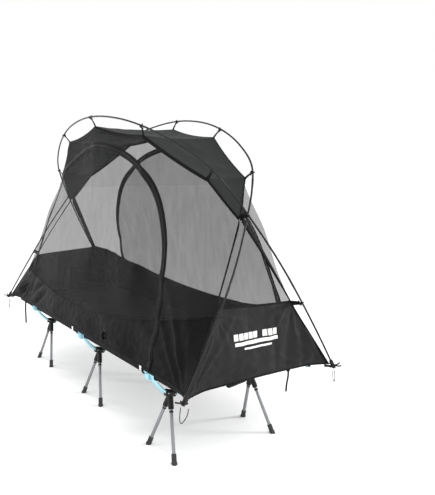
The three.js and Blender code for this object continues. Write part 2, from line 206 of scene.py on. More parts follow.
def net(name, hex_code, solid_share):
    """Fine insect mesh: see-through cloth with a barely visible net."""
    m = Material(name, hex_code, 0.80, specular=0.12)
    m.set("Sheen Weight", 0.08)
    m.set("Sheen Roughness", 0.5)
    threads = m.maths("MAXIMUM", m.wave(300, "X"), m.wave(300, "Z"))
    patches = m.noise(26, (1, 1, 0.28), (0.5, 0.3, 0.5), 4)
    veil = m.ramp(threads, solid_share - 0.02, solid_share + 0.01, 0, 1)
    m.link(m.maths("MULTIPLY", veil, m.ramp(patches, 0.94, 1.05)), m.shader.inputs["Alpha"])
    m.bump(m.noise(14, (1, 1, 2), (0.5, 0.3, 0.2), 4), 0.004, 0.6)
    m.shade(patches, 0.95, 1.05)
    return m.mat


def webbing(name, hex_code):
    """Ribbed tape or cord."""
    m = Material(name, hex_code, 0.80, specular=0.15)
    ribs = m.maths("MULTIPLY", m.wave(900, "DIAGONAL"), m.wave(600, "Z"))
    m.bump(ribs, 0.0004, 0.5)
    m.shade(m.noise(60), 0.85, 1.15)
    m.rough(m.noise(90), 0.65, 0.85)
    return m.mat


def anodised(name, hex_code, roughness):
    """Finely drawn, coloured metal."""
    m = Material(name, hex_code, roughness, metallic=0.85)
    m.bump(m.noise(260, detail=2), 0.00008, 0.5)
    m.shade(m.noise(14), 0.94, 1.06)
    m.rough(m.noise(40), roughness - 0.05, roughness + 0.08)
    return m.mat


def moulded(name, hex_code, roughness):
    """Moulded plastic or rubber with a fine grain."""
    m = Material(name, hex_code, roughness, specular=0.30)
    m.bump(m.noise(420, detail=2), 0.00012, 0.6)
    m.shade(m.noise(25), 0.9, 1.1)
    m.rough(m.noise(55), roughness - 0.07, roughness + 0.08)
    return m.mat


MATERIALS = {  # each with the slot that its pieces go to
    # The tub cloth's last pair is its painted light and shade along the bed, from 0.40 to 0.80 times its base
    # colour.
    "tub": (woven("tub cloth", "1c1c1d", 0.72, 0.0016, 0.0030, 0.07, (0.40, 0.80)), "tub_cloth"),
    "tub_end": (woven("end wall cloth", "1f1f20", 0.68, 0.0016, 0.0022), "tub_cloth"),
    "roof": (woven("roof cloth", "222524", 0.74, 0.0016, 0.0018), "roof_cloth"),
    "bed": (woven("bed cloth", "101112", 0.80, 0.0020, 0.0015), "sheet_cloth"),
    "mesh": (net("insect mesh", "29292a", 0.41), "mesh_cloth"),
    "front_door_mesh": (net("front door mesh", "1d1d1e", 0.47), "mesh_cloth"),
    # The back door has the same net as the front door, given a darker colour and more opacity: painted shade
    # for the back wall, which is seen from inside the tent.
    "back_door_mesh": (net("back door mesh", "161617", 0.64), "mesh_cloth"),
    "binding": (webbing("binding tape", "0c0c0d"), "webbing"),
    "webbing": (webbing("webbing", "0b0b0c"), "webbing"),
    "white": (webbing("white tape", "e9e9e6"), "webbing"),
    "cord": (webbing("shock cord", "29292b"), "grey_cord"),
    "blue": (anodised("blue anodised tube", "9fd6e6", 0.32), "blue_aluminium"),
    "grey": (anodised("grey anodised tube", "8d8e91", 0.42), "grey_aluminium"),
    "steel": (anodised("pin steel", "9a9a9c", 0.30), "grey_aluminium"),
    "pole": (anodised("pole", "2a2b2c", 0.50), "dark_aluminium"),
    "pole_joint": (anodised("pole joint", "303132", 0.36), "dark_aluminium"),
    "steel_dark": (anodised("blackened metal", "2b2b2c", 0.35), "black_plastic"),
    "plastic": (moulded("moulded plastic", "0d0d0e", 0.50), "black_plastic"),
    "coil": (moulded("zip coil", "070708", 0.60), "black_plastic"),
    "rubber": (moulded("rubber", "3a3a3b", 0.78), "black_rubber"),
}


# ---------- mesh building ----------
HALF_TURN = np.array([-1, -1, 1])


class Shape:
    """Vertices and faces that are put together into one piece."""

    def __init__(self):
        self.verts = np.zeros((0, 3))
        self.faces = []

    def add(self, verts, faces):
        start = len(self.verts)
        self.verts = np.vstack([self.verts, np.asarray(verts, float)])
        self.faces += [tuple(i + start for i in face) for face in faces]
        return self

    def merge(self, other):
        return self.add(other.verts, other.faces)

    def half_turn(self):
        return Shape().add(self.verts * HALF_TURN, self.faces)


def as_built(shape):
    """The shape as it is."""
    return shape


# The front and the right are built; the back and the left are the same turned half way round.
PLACED = {"front": as_built, "right": as_built, "back": Shape.half_turn, "left": Shape.half_turn}


def piece(name, shape, material, body=BODY, replaces=(), closed=True, thickness=0.0):
    """Makes the object, gives it its material and lets it ride on its body."""
    mesh = bpy.data.meshes.new(name)
    mesh.from_pydata([tuple(v) for v in shape.verts], [], shape.faces)
    mesh.validate()
    work = bmesh.new()
    work.from_mesh(mesh)
    bmesh.ops.remove_doubles(work, verts=work.verts, dist=1e-6)
    loose = [v for v in work.verts if not v.link_faces]
    bmesh.ops.delete(work, geom=loose, context="VERTS")
    if closed:
        bmesh.ops.recalc_face_normals(work, faces=work.faces)
    work.to_mesh(mesh)
    work.free()
    obj = new_object(name, mesh)
    if thickness:
        solidify = obj.modifiers.new("thickness", "SOLIDIFY")
        solidify.thickness = thickness
        solidify.offset = 0
    return dressed(obj, material, body, replaces)


def new_object(name, data):
    """An object in the scene."""
    obj = bpy.data.objects.new(name, data)
    bpy.context.scene.collection.objects.link(obj)
    return obj


def dressed(obj, material, body, replaces):
    """Gives an object its material, smooth shading and body, and hides the CAD nodes that it stands for."""
    look, usual_slot = MATERIALS[material]
    obj.data.materials.clear()
    obj.data.materials.append(look)
    obj.data.polygons.foreach_set("use_smooth", [True] * len(obj.data.polygons))
    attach(obj, body)
    if replaces:
        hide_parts(*replaces)
    return obj


def smooth_path(points, per_span=12):
    """A centripetal Catmull-Rom line through the points."""
    p = np.asarray(points, float)
    p = np.vstack([2 * p[0] - p[1], p, 2 * p[-1] - p[-2]])
    knots = np.cumsum([0] + [max(np.linalg.norm(b - a), 1e-6) ** 0.5 for a, b in zip(p, p[1:])])
    line = []
    for i in range(1, len(p) - 2):
        for t in np.linspace(knots[i], knots[i + 1], per_span, endpoint=False):
            row = list(p[i - 1:i + 3])
            for reach in (1, 2):
                row = [mixed(row, k, knots[i - 1 + k], knots[i - 1 + k + reach], t) for k in range(4 - reach)]
            line.append(mixed(row, 0, knots[i], knots[i + 1], t))
    line.append(p[-2])
    return np.array(line)


def mixed(row, k, start, end, t):
    """The point between two neighbours of a row, as far along as t is from start to end."""
    return ((end - t) * row[k] + (t - start) * row[k + 1]) / (end - start)


def unit(v):
    """Vectors scaled to length 1."""
    v = np.asarray(v, float)
    return v / np.maximum(np.linalg.norm(v, axis=-1, keepdims=True), 1e-12)


def frames_along(line, up=(0, 0, 1)):
    """Tangent, side and normal at each point, carried along the line without twist."""
    tangent = unit(np.gradient(line, axis=0))
    helper = up if abs(np.dot(tangent[0], up)) < 0.95 else (1, 0, 0)
    side = unit(np.cross(tangent[0], helper))
    sides = []
    for t in tangent:
        side = unit(side - np.dot(side, t) * t)
        sides.append(side)
    sides = np.array(sides)
    return tangent, sides, np.cross(sides, tangent)


def tube_of(rings):
    """The closed shape that joins one ring of points to the next, with both ends capped."""
    rows, count = len(rings), len(rings[0])
    faces = []
    for i in range(rows - 1):
        for k in range(count):
            j = (k + 1) % count
            faces.append((i * count + k, i * count + j, (i + 1) * count + j, (i + 1) * count + k))
    faces.append(tuple(reversed(range(count))))
    faces.append(tuple((rows - 1) * count + k for k in range(count)))
    return Shape().add(np.vstack(rings), faces)


def swept(line, section, up=(0, 0, 1), scale=None):
    """A closed section of (side, normal) points swept along a line."""
    line = np.asarray(line, float)
    _, side, normal = frames_along(line, up)
    section = np.asarray(section, float)
    scale = np.ones(len(line)) if scale is None else scale
    flat = [section[:, :1] * a + section[:, 1:] * b for a, b in zip(side, normal)]
    return tube_of([point + size * ring for point, size, ring in zip(line, scale, flat)])


def circle(radius, count=16):
    """A round section."""
    angles = np.linspace(0, 2 * math.pi, count, endpoint=False)
    return np.stack([radius * np.cos(angles), radius * np.sin(angles)], 1)


def slab_section(width, thickness):
    """A flat band's section with bevelled edges."""
    half, face = width / 2, thickness / 2
    bevel = min(face, half)
    top = [(half - bevel, face), (0, face), (-half + bevel, face)]
    bottom = [(-y, -z) for y, z in top]
    return top + [(-half, 0)] + bottom + [(half, 0)]


def turned(profile, start, direction, count=28):
    """A lathe shape: (radius, distance) points turned round the line from start along direction."""
    direction = unit(direction)
    helper = np.array([0, 0, 1.0]) if abs(direction[2]) < 0.9 else np.array([1.0, 0, 0])
    side = unit(np.cross(direction, helper))
    normal = np.cross(direction, side)
    ring = circle(1, count)
    disc = ring[:, :1] * side + ring[:, 1:] * normal
    return tube_of([np.asarray(start) + distance * direction + radius * disc for radius, distance in profile])


def shape_of(work):
    """The shape in a bmesh, which is freed."""
    verts = [tuple(v.co) for v in work.verts]
    faces = [tuple(v.index for v in f.verts) for f in work.faces]
    work.free()
    return Shape().add(verts, faces)


def rounded_box(centre, size, bevel, axes=((1, 0, 0), (0, 1, 0), (0, 0, 1))):
    """A box with rounded edges, turned to the given axes."""
    work = bmesh.new()
    bmesh.ops.create_cube(work, size=1)
    for v in work.verts:
        v.co = Vector((v.co.x * size[0], v.co.y * size[1], v.co.z * size[2]))
    bmesh.ops.bevel(work, geom=work.edges[:], offset=bevel, segments=3, profile=0.5, affect="EDGES")
    local = shape_of(work)
    axes = np.array([unit(a) for a in axes])
    return Shape().add(np.asarray(centre) + local.verts @ axes, local.faces)


def cut_at_floor(shape):
    """Cuts away what lies below the floor and closes the cut."""
    mesh = bpy.data.meshes.new("cut")
    mesh.from_pydata([tuple(v) for v in shape.verts], [], shape.faces)
    work = bmesh.new()
    work.from_mesh(mesh)
    cut = bmesh.ops.bisect_plane(work, geom=work.verts[:] + work.edges[:] + work.faces[:],
                                 plane_co=(0, 0, 0), plane_no=(0, 0, -1), clear_outer=True)
    rim = [e for e in cut["geom_cut"] if isinstance(e, bmesh.types.BMEdge)]
    bmesh.ops.holes_fill(work, edges=rim, sides=0)
    work.verts.index_update()
    result = shape_of(work)
    bpy.data.meshes.remove(mesh)
    return result


# ---------- the camera ----------
def make_camera():
    """Stands at the front right corner of the bed, a little above head height."""
    data = bpy.data.cameras.new("camera")
    data.sensor_width = 36
    data.lens = 41.9
    data.shift_x = 0.1222
    data.shift_y = -0.0726
    camera = new_object("camera", data)
    camera.location = (2.674, -1.519, 1.2086)
    looks_along = Vector((-0.8484, 0.5238, -0.0764))
    camera.rotation_euler = looks_along.to_track_quat("-Z", "Y").to_euler()
    bpy.context.scene.camera = camera


def hang(name, node, shape, material):
    """A cord or strap tail, made in place of its CAD node."""
    obj = piece(name, shape, material, replaces=[node])


def make_hanging_pieces():
    """The cord loops under the pole feet and the strap tails under the hem."""
    for name, points in CORD_LOOPS.items():
        line = smooth_path(points, 8)
        shape = swept(line, circle(CORD_RADIUS, 12), up=(1, 0, 0.2))
        hang(f"cord_{name}", f"cord_loop_{name}", shape, "cord")
    for name, points in STRAP_TAILS.items():
        line = smooth_path(points, 10)
        across = (-0.7, 0.7, 0) if name == "left" else (1, 0, 0)
        shape = swept(line, slab_section(STRAP["width"], STRAP["thickness"]), up=across)
        hang(f"tail_{name}", f"strap_tail_{name}", shape, "webbing")


make_camera()
make_hanging_pieces()


# ---------- the cloth surfaces ----------
TUB_TOP = {  # (x, z) of the tub's upper edge on the long sides
    "front": [(-0.96, 0.630), (-0.785, 0.548), (-0.57, 0.521), (-0.213, 0.494), (0.068, 0.491),
              (0.30, 0.518), (0.70, 0.585), (0.96, 0.643)],
    "back": [(-0.96, 0.665), (-0.725, 0.615), (-0.284, 0.553), (0.362, 0.531), (0.634, 0.557),
             (0.96, 0.652)],
}
EDGE_SAG = (0.012, 0.009, 0.004)  # how far the top edge hangs between its clips
HEM_ARCH = (0.004, 0.003)  # the end hem is cut inwards and upwards in its middle
EAR = (0.026, 0.026, 0.003)  # the hem corners are drawn out to the pole feet
TAPE_LIFT = 0.0012
SEAM = {"offsets": (-0.004, 0.0, 0.004), "thickness": 0.0006}
BINDING_THICKNESS = 0.001
CLOTH_THICKNESS = 0.0008
# Where the cloth is pulled: height of the folds, place, reach, count and phase.
WALL_PULLS = [(0.0060, (-0.98, 0.35), 0.42, 30, 0.4), (0.0080, (1.02, 0.30), 0.80, 30, 1.3)]
for index, place in enumerate([(0, 1.41), (0.417, 1.35), (-0.417, 1.35), (0.77, 1.16), (-0.77, 1.16)]):
    WALL_PULLS.append((0.0020, place, 0.22, 15, index))
END_PULLS = [(0.0100, (-0.36, 0.34), 0.34, 30, 0.2), (0.0080, (0.36, 0.34), 0.26, 26, 2.0),
             (0.0060, (-0.20, 0.66), 0.14, 18, 1.1), (0.0080, (0.21, 0.66), 0.20, 16, 0.5)]
ROOF_PULLS = [(1, (sign_x * x, sign_y * y), 0.16, 9, index + sign_x + 2 * sign_y)
              for index, (x, y) in enumerate([(0, 0.235), (0.417, 0.198), (0.77, 0.1)])
              for sign_x in (-1, 1) for sign_y in (-1, 1)]


def noise_field(seed, lengths, count=26):
    """A smooth seeded noise over a plane: many faint waves in random directions."""
    random = np.random.default_rng(seed)
    angle = random.uniform(0, math.pi, count)
    wavelength = np.exp(random.uniform(math.log(lengths[0]), math.log(lengths[1]), count))
    phase = random.uniform(0, 2 * math.pi, count)

    def field(a, b):
        total = 0
        for i in range(count):
            along = a * math.cos(angle[i]) + b * math.sin(angle[i])
            total = total + wavelength[i] * np.sin(2 * math.pi * along / wavelength[i] + phase[i])
        return total / (np.sum(wavelength ** 2) / 2) ** 0.5
    return field


broad = noise_field(11, (0.25, 0.60))
middling = noise_field(23, (0.07, 0.18))
small = noise_field(37, (0.025, 0.06))


def folds(a, b, centre, reach, count, phase):
    """Tension folds that fan out from a point where the cloth is pulled."""
    da, db = a - centre[0], b - centre[1]
    away = np.hypot(da, db)
    angle = np.arctan2(db, da)
    ray = 1 - 1.8 * np.abs(np.sin(0.5 * count * angle + phase + 0.5 * broad(a, b))) ** 0.8
    uneven = 0.55 + 0.45 * np.sin(7.3 * angle + 3 * phase)
    return ray * uneven * np.exp(-(away / reach) ** 2) * np.minimum(away / 0.08, 1)


def top_edge(x):
    """The sagging upper edge of the front wall at x."""
    away = np.abs(x)
    y = np.interp(away, TOP_HALF[:, 0], TOP_HALF[:, 1])
    z = np.interp(away, TOP_HALF[:, 0], TOP_HALF[:, 2])
    for i, sag in enumerate(EDGE_SAG):
        k = np.clip((away - TOP_HALF[i, 0]) / (TOP_HALF[i + 1, 0] - TOP_HALF[i, 0]), 0, 1)
        z = z - 4 * k * (1 - k) * sag
        y = y + 4 * k * (1 - k) * sag * 0.4
    return np.stack([x, np.minimum(y, 0), z], -1)


def ear(s, t, start):
    """How much of the drawn-out corner there is at a point near the hem."""
    return np.clip((np.abs(s) - start) / (1 - start), 0, 1) ** 2 * np.clip(1 - t / 0.40, 0, 1) ** 1.3


def plain_wall(s, t, with_ears=True):
    """The front wall without its wrinkles; s runs -1..1 along the bed and t 0..1 upwards."""
    s, t = np.broadcast_arrays(np.asarray(s, float), np.asarray(t, float))
    top = top_edge(TOP_HALF[-1, 0] * s)
    low = np.stack([HEM["x"] * s, np.full_like(s, -HEM["y"]), np.full_like(s, HEM["z"])], -1)
    near_corner = np.abs(s) ** 6
    middle = (low + top) / 2
    middle[..., 0] += np.sign(s) * SEAM_BULGE[0] * near_corner
    middle[..., 1] += SEAM_BULGE[1] * near_corner + WALL_TENSION * (1 - s * s)
    out = ear(s, t, 0.90)[..., None] * np.stack([np.sign(s) * EAR[0], np.full_like(s, -EAR[1]),
                                                 np.full_like(s, -EAR[2])], -1)
    t = t[..., None]
    point = low * (1 - t) * (1 - 2 * t) + middle * 4 * t * (1 - t) + top * t * (2 * t - 1)
    return point + out if with_ears else point


def pulled(a, b, pulls):
    """All the folds of a list of pulls: each one's height, centre, reach, count and phase."""
    total = 0
    for height, centre, reach, count, phase in pulls:
        total = total + height * folds(a, b, centre, reach, count, phase)
    return total


def below(value, level, blur):
    """1 well below a level and 0 well above it."""
    return 1 / (1 + np.exp((value - level) / blur))


def fade(s, t, reach_s, reach_t):
    """1 over the cloth, and down to 0 towards its side edges and its top."""
    return np.clip((1 - np.abs(s)) / reach_s, 0, 1) * np.clip((1 - np.asarray(t)) / reach_t, 0, 1)


def from_hem(z):
    """0 at the hem and 1 a little above it."""
    return np.clip((z - HEM["z"]) / 0.03, 0, 1)


def wall_wrinkles(x, z):
    """How far the wall stands proud of its plain surface."""
    solid = below(z, 0.53, 0.03)
    head = below(x, -0.55, 0.08)
    slant = middling(0.9 * z - 0.5 * x, 0.3 * z + 0.25 * x)
    creases = (0.0014 + 0.0085 * head) * np.abs(slant)
    crumple = solid * (creases + 0.0006 * small(x, z) + 0.0060 * broad(x, 2 * z))
    airy = (1 - solid) * (0.0040 * broad(x + 3, z) + 0.0007 * middling(1.4 * x, 0.5 * z + 2))
    return from_hem(z) * (pulled(x, z, WALL_PULLS) + crumple + airy)


def normals_of(surface, s, t, step=1e-3):
    """The unit normals of a surface, from its slopes."""
    ds = surface(s + step, t) - surface(s - step, t)
    dt = surface(s, t + step) - surface(s, t - step)
    return unit(np.cross(ds, dt))


def wall(s, t):
    """The wrinkled front wall; its normal points out of the tent."""
    plain = plain_wall(s, t)
    rise = wall_wrinkles(plain[..., 0], plain[..., 2]) * fade(s, t, 0.09, 0.03)
    return plain + normals_of(plain_wall, s, t) * rise[..., None]


def plain_end(s, t):
    """The right end wall without wrinkles; s runs -1..1 from front to back."""
    s, t = np.broadcast_arrays(np.asarray(s, float), np.asarray(t, float))
    edge = plain_wall(np.ones_like(t), t, with_ears=False)
    arch = (1 - s * s) * np.clip(1 - t / 0.35, 0, 1) ** 2
    out = ear(s, t, 0.72)
    return np.stack([edge[..., 0] - HEM_ARCH[0] * arch + EAR[0] * out,
                     -edge[..., 1] * s + np.sign(s) * EAR[1] * out,
                     edge[..., 2] + HEM_ARCH[1] * arch - EAR[2] * out], -1)


def end_wrinkles(y, z):
    """How far the end wall stands proud of its plain surface."""
    solid = below(z, 0.64, 0.02)
    upright = 0.0028 * np.abs(middling(1.3 * y + 5, 0.2 * z)) + 0.0006 * small(y, z)
    upright = upright + 0.004 * broad(2 * y, z)
    airy = 0.0025 * broad(2 * y + 1, z)
    return from_hem(z) * (solid * (pulled(y, z, END_PULLS) + upright) + (1 - solid) * airy)


def end_wall(s, t):
    """The wrinkled right end wall."""
    plain = plain_end(s, t)
    rise = end_wrinkles(plain[..., 1], plain[..., 2]) * fade(s, t, 0.05, 0.06)
    normals = normals_of(plain_end, np.clip(s, -0.999, 0.999), np.clip(t, 0, 0.995))
    return plain + normals * rise[..., None]


def roof(s, t):
    """The roof between the two top edges; s runs along the bed and t from front to back, -1..1."""
    s, t = np.broadcast_arrays(np.asarray(s, float), np.asarray(t, float))
    edge = top_edge(TOP_HALF[-1, 0] * s)
    x, half = edge[..., 0], -edge[..., 1]
    y = half * t
    inside = 1 - t * t
    wrinkles = 0.0022 * pulled(x, y, ROOF_PULLS) + 0.0008 * middling(x, y)
    rise = -0.010 * inside * np.clip(half / 0.2, 0, 1) + inside * wrinkles
    return np.stack([x, y, edge[..., 2] + rise + 0.001], -1)


def finder(surface, column, half_length, height):
    """A function that finds the (s, t) where a surface has a given x (or y) and z, by Newton's steps."""
    step = 1e-4

    def find(across, z):
        across, z = np.asarray(across, float), np.asarray(z, float)
        s = np.clip(across / half_length, -1, 1)
        t = np.clip((z - HEM["z"]) / height, 0, 1)
        for _ in range(25):
            here = surface(s, t)
            ds = (surface(s + step, t) - here) / step
            dt = (surface(s, t + step) - here) / step
            miss_across, miss_z = across - here[..., column], z - here[..., 2]
            det = ds[..., column] * dt[..., 2] - ds[..., 2] * dt[..., column]
            det = np.where(np.abs(det) < 1e-9, 1e-9, det)
            s = s + 0.8 * (miss_across * dt[..., 2] - miss_z * dt[..., column]) / det
            t = t + 0.8 * (miss_z * ds[..., column] - miss_across * ds[..., 2]) / det
            s, t = np.clip(s, -1.02, 1.02), np.clip(t, -0.02, 1.02)
        return s, t
    return find


on_wall = finder(plain_wall, 0, 0.92, 1.0)
on_end = finder(plain_end, 1, 0.25, 0.626)


# ---------- cutting cloth out of a surface ----------
def grid_cloth(surface, s_values, t_values):
    """The whole of a surface as a grid of quads."""
    s, t = np.meshgrid(s_values, t_values, indexing="ij")
    points = surface(s, t).reshape(-1, 3)
    rows, columns = len(s_values), len(t_values)
    faces = []
    for i in range(rows - 1):
        for j in range(columns - 1):
            a = i * columns + j
            faces.append((a, a + columns, a + columns + 1, a + 1))
    return Shape().add(points, faces)


def keep_where(shape, field):
    """The part of a shape where the field of its points is positive, cut cleanly along the zero line."""
    values = field(shape.verts)
    verts = list(shape.verts)
    cuts = {}
    faces = []

    def cut(a, b):
        key = (min(a, b), max(a, b))
        if key not in cuts:
            share = values[a] / (values[a] - values[b])
            verts.append(shape.verts[a] + share * (shape.verts[b] - shape.verts[a]))
            cuts[key] = len(verts) - 1
        return cuts[key]

    for face in shape.faces:
        inside = [values[i] > 0 for i in face]
        if all(inside):
            faces.append(face)
        elif any(inside):
            ring = []
            for k, a in enumerate(face):
                b = face[(k + 1) % len(face)]
                if values[a] > 0:
                    ring.append(a)
                if (values[a] > 0) != (values[b] > 0):
                    ring.append(cut(a, b))
            if len(set(ring)) > 2:
                faces.append(tuple(ring))
    used, renumbered = np.unique([i for face in faces for i in face], return_inverse=True)
    renumbered = iter(renumbered)
    return Shape().add(np.array(verts)[used], [tuple(next(renumbered) for _ in face) for face in faces])


def signed_distance(points, outline):
    """Distance to a closed 2-D outline, positive inside."""
    best = np.full(len(points), 1e9)
    inside = np.zeros(len(points), bool)
    for a, b in zip(outline, np.roll(outline, -1, axis=0)):
        edge = b - a
        along = np.clip(((points - a) @ edge) / max(edge @ edge, 1e-12), 0, 1)
        best = np.minimum(best, np.linalg.norm(points - (a + along[:, None] * edge), axis=1))
        crosses = (a[1] > points[:, 1]) != (b[1] > points[:, 1])
        with np.errstate(divide="ignore", invalid="ignore"):
            where = a[0] + (points[:, 1] - a[1]) * edge[0] / (edge[1] if edge[1] else 1e-12)
        inside ^= crosses & (points[:, 0] < where)
    return np.where(inside, best, -best)


def tub_line(side):
    """The height of a side's tub as a smooth function of x, before the back side is turned round."""
    turn = -1 if side == "back" else 1
    line = smooth_path(sorted((turn * x, z, 0) for x, z in TUB_TOP[side]), 12)
    return lambda x: np.interp(x, line[:, 0], line[:, 1])


def area_of(shape):
    """The area of all faces together."""
    total = 0.0
    for face in shape.faces:
        ring = shape.verts[list(face)]
        fan = np.cross(ring[1:-1] - ring[0], ring[2:] - ring[0])
        total += 0.5 * np.linalg.norm(fan.sum(axis=0))
    return total


def cut_size(shape, area):
    """The rectangle that a nearly upright panel is cut from: its width and its slant height."""
    x, y, z = np.ptp(shape.verts, axis=0)
    across, deep = (x, y) if x > y else (y, x)
    height = math.hypot(z, deep)
    return round(max(across, area / height) * 1.005, 3), round(height * 1.005, 3)


def panel(name, shape, material, body=BODY, replaces=(), thickness=0.0, flat=None, **how):
    """A cut panel of cloth; the size that it was cut to is worked out but not used."""
    obj = piece(name, shape, material, body, replaces, closed=False, thickness=thickness)
    how.setdefault("held", "stretched")
    flat = flat or cut_size(shape, area_of(shape))


def tape(rows, lift, thickness):
    """A tape whose rows of (points, normals) lie on a cloth, lifted off it along the normals."""
    ring = [p + (lift + thickness) * n for p, n in rows] + [p + lift * n for p, n in reversed(rows)]
    return tube_of(np.stack(ring, 1))


def band(surface, find, line, offsets, lift=TAPE_LIFT, thickness=SEAM["thickness"]):
    """A flat tape on a surface, along a 2-D line and as wide as its offsets from it say."""
    line = np.asarray(line, float)
    along = unit(np.gradient(line, axis=0))
    across = np.stack([-along[:, 1], along[:, 0]], 1)
    rows = []
    for offset in offsets:
        s, t = find(*(line + offset * across).T)
        rows.append((surface(s, t), normals_of(surface, s, t)))
    return tape(rows, lift, thickness)


def edge_tape(surface, plain, parameters):
    """A binding tape over the cloth's edge; each of its rows has its own (s, t) values."""
    rows = []
    for s, t in parameters:
        s, t = np.broadcast_arrays(s, t)
        rows.append((surface(s, t), normals_of(plain, s, t)))
    return tape(rows, TAPE_LIFT, BINDING_THICKNESS)


# ---------- the walls and doors ----------
DOOR_LINE = smooth_path([(x, z, 0) for x, z in DOOR_ZIP], 10)[:, :2]
ZIP_LINE = DOOR_LINE[DOOR_LINE[:, 1] > HEM["z"] + 0.004]
ZIP = {"width": {"front": 0.0165, "back": 0.0150}, "tape": 0.0008, "coil": 0.0014, "gap": 0.0012}
SHOULDER = TOP_HALF[1, 0]


def make_long_side(side):
    """One long side: its door and fixed cloth, each with a solid tub below and net above."""
    cloth = grid_cloth(wall, np.linspace(-1, 1, 221), np.linspace(0, 1, 121))
    placed = PLACED[side]
    door_body = f"{side}_door"
    tub_top = tub_line(side)

    def in_door(v):
        return signed_distance(v[:, [0, 2]], DOOR_LINE)

    def above_tub(v):
        return v[:, 2] - tub_top(v[:, 0])

    def add(key, shape, material, body=BODY, replaces=(), thickness=0.0):
        panel(f"{side}_{key}", placed(shape), material, body, replaces, thickness)

    door = keep_where(cloth, in_door)
    fixed = keep_where(cloth, lambda v: -in_door(v))
    net_part = keep_where(fixed, above_tub)
    tub_part = keep_where(fixed, lambda v: -above_tub(v))
    add("door_net", keep_where(door, above_tub), f"{side}_door_mesh", door_body, [door_body])
    for key, field, replaces in (("net_top", lambda v: SHOULDER - np.abs(v[:, 0]), [f"{side}_wall"]),
                                 ("net_left", lambda v: -v[:, 0] - SHOULDER, []),
                                 ("net_right", lambda v: v[:, 0] - SHOULDER, [])):
        add(key, keep_where(net_part, field), "mesh", replaces=replaces)
    door_tub = keep_where(door, lambda v: -above_tub(v))
    add("door_tub", door_tub, "tub", door_body, thickness=CLOTH_THICKNESS)
    for key, sign in (("tub_left", -1), ("tub_right", 1)):
        half = keep_where(tub_part, lambda v: sign * v[:, 0])
        add(key, half, "tub", thickness=CLOTH_THICKNESS)

    make_zip(side)
    seam = np.array([(x, tub_top(x)) for x in np.linspace(-0.935, 0.935, 150)])
    inward = signed_distance(seam, DOOR_LINE)
    beside = 0.012  # the seam's tape stops this far from the zip
    for key, part, body in (("door", inward > beside, door_body),
                            ("left", (inward < -beside) & (seam[:, 0] < 0), BODY),
                            ("right", (inward < -beside) & (seam[:, 0] > 0), BODY)):
        shape = placed(band(wall, on_wall, seam[part], SEAM["offsets"]))
        piece(f"{side}_tub_seam_{key}", shape, "binding", body)


def make_zip(side):
    """The zip round the door, with its two woven tapes and the coil between them, and the shoulder seam."""
    placed = PLACED[side]
    width, gap = ZIP["width"][side], ZIP["gap"]
    for key, sign, body in (("door", 1, f"{side}_door"), ("wall", -1, BODY)):
        offsets = (sign * gap, sign * width / 2, sign * width)
        shape = placed(band(wall, on_wall, ZIP_LINE, offsets, TAPE_LIFT, ZIP["tape"]))
        piece(f"{side}_zip_tape_{key}", shape, "binding", body)
    coil_lift = TAPE_LIFT + 0.0009
    coil = band(wall, on_wall, ZIP_LINE, (-0.0026, -0.0014, 0.0, 0.0010), coil_lift, ZIP["coil"])
    piece(f"{side}_zip_coil", placed(coil), "coil")
    drop = [(-SHOULDER, z) for z in np.linspace(1.222, 1.346, 12)]
    seam = band(wall, on_wall, drop, SEAM["offsets"])
    piece(f"{side}_seam_shoulder", placed(seam), "binding")


def make_bindings(side):
    """Edge tape on a long side: under the roof edge, down the corners and along the hem."""
    placed = PLACED[side]
    s = np.linspace(-0.998, 0.998, 240)
    for key, reach in {"top": (0.9985, 0.984), "hem": (0.014, 0.001)}.items():
        shape = edge_tape(wall, plain_wall, [(s, t) for t in np.linspace(*reach, 3)])
        piece(f"{side}_{key}_binding", placed(shape), "binding")
    bead = swept(wall(s, np.full_like(s, 0.9995)) + np.array([0, -0.001, 0.001]), circle(0.0028, 10))
    piece(f"{side}_top_bead", placed(bead), "binding")
    t = np.linspace(0.004, 0.985, 90)
    shares = (0.9995, 0.9985, 0.9975) if side == "front" else (0.9995, 0.992, 0.985)
    for key, sign in {"left": -1, "right": 1}.items():
        shape = edge_tape(wall, plain_wall, [(sign * share, t) for share in shares])
        piece(f"{side}_corner_tape_{key}", placed(shape), "binding")
        line = wall(np.full_like(t, sign), t) + np.array([sign * 0.001, -0.001, 0])
        piece(f"{side}_corner_bead_{key}", placed(swept(line, circle(0.0026, 10))), "binding")


# ---------- the end walls ----------
END_TOP = {"right": (0.643, 0.652, 0.030), "left": (0.665, 0.630, -0.012)}  # both heights, and rise
END_TUB_HALF = 0.205  # half the end wall's width at its tub's upper edge


def end_tub_top(side, y):
    """The height of an end's tub across the tent; it rises just behind its first corner."""
    first, last, rise = END_TOP[side]
    k = np.clip((y / END_TUB_HALF + 1) / 2, 0, 1)
    return first + (last - first) * k + rise * (1 - k) ** 1.5 * np.minimum(k / 0.08, 1)


